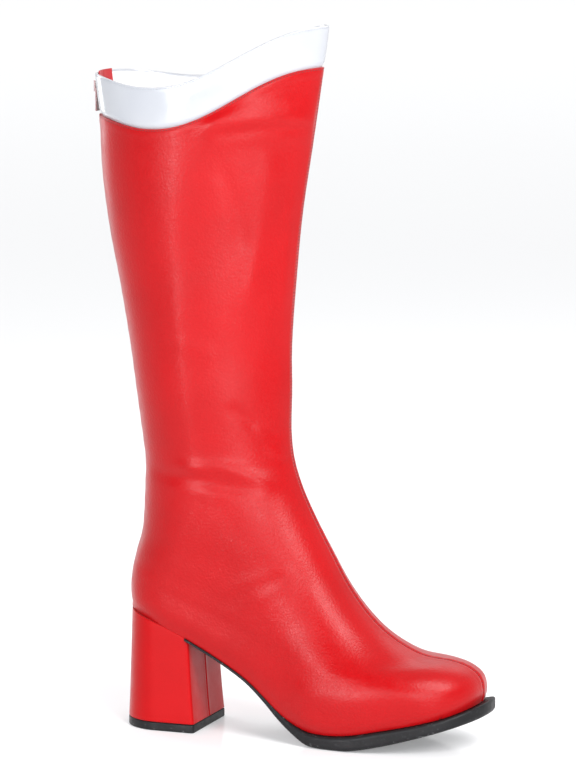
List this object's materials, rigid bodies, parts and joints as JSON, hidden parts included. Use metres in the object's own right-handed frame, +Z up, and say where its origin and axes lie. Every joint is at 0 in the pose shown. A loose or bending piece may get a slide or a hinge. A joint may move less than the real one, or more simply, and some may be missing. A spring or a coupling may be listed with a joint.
{
  "type": "costume boot",
  "caption": "Knee-high red costume boot with a wavy white collar band, soft square toe, flared block heel, black sole and a zip at the centre back.",
  "frame": {"origin": "middle of the heel's tread, on the floor", "axes": "+X to the toe, +Y to the inner side of the leg, +Z up the shaft"},
  "size_m": [0.2677, 0.092, 0.4522],
  "materials": {
    "red_coated_fabric": "satin coated fabric with a fine grain",
    "white_gloss_band": "glossy patent coating",
    "insole_board": "matt lining over board",
    "black_sole": "moulded, satin",
    "zip_red": "woven tape and plastic coil",
    "zip_enamel": "enamelled"
  },
  "bodies": {
    "boot": {"upper": "red_coated_fabric", "collar_band": "white_gloss_band", "insole": "insole_board", "outsole": "black_sole", "heel_block": "red_coated_fabric", "top_lift": "black_sole", "zip_tape_outer": "zip_red", "zip_tape_inner": "zip_red", "zip_coil": "zip_red", "zip_slider": "zip_enamel"},
    "zip_pull": {"zip_pull": "zip_enamel"}
  },
  "joints": [
    {"name": "zip_pull_hinge", "type": "hinge", "parent": "boot", "child": "zip_pull", "pos_m": [-0.04949, 0, 0.41045], "axis": [0, 1, 0], "range_deg": [0, 140]}
  ]
}
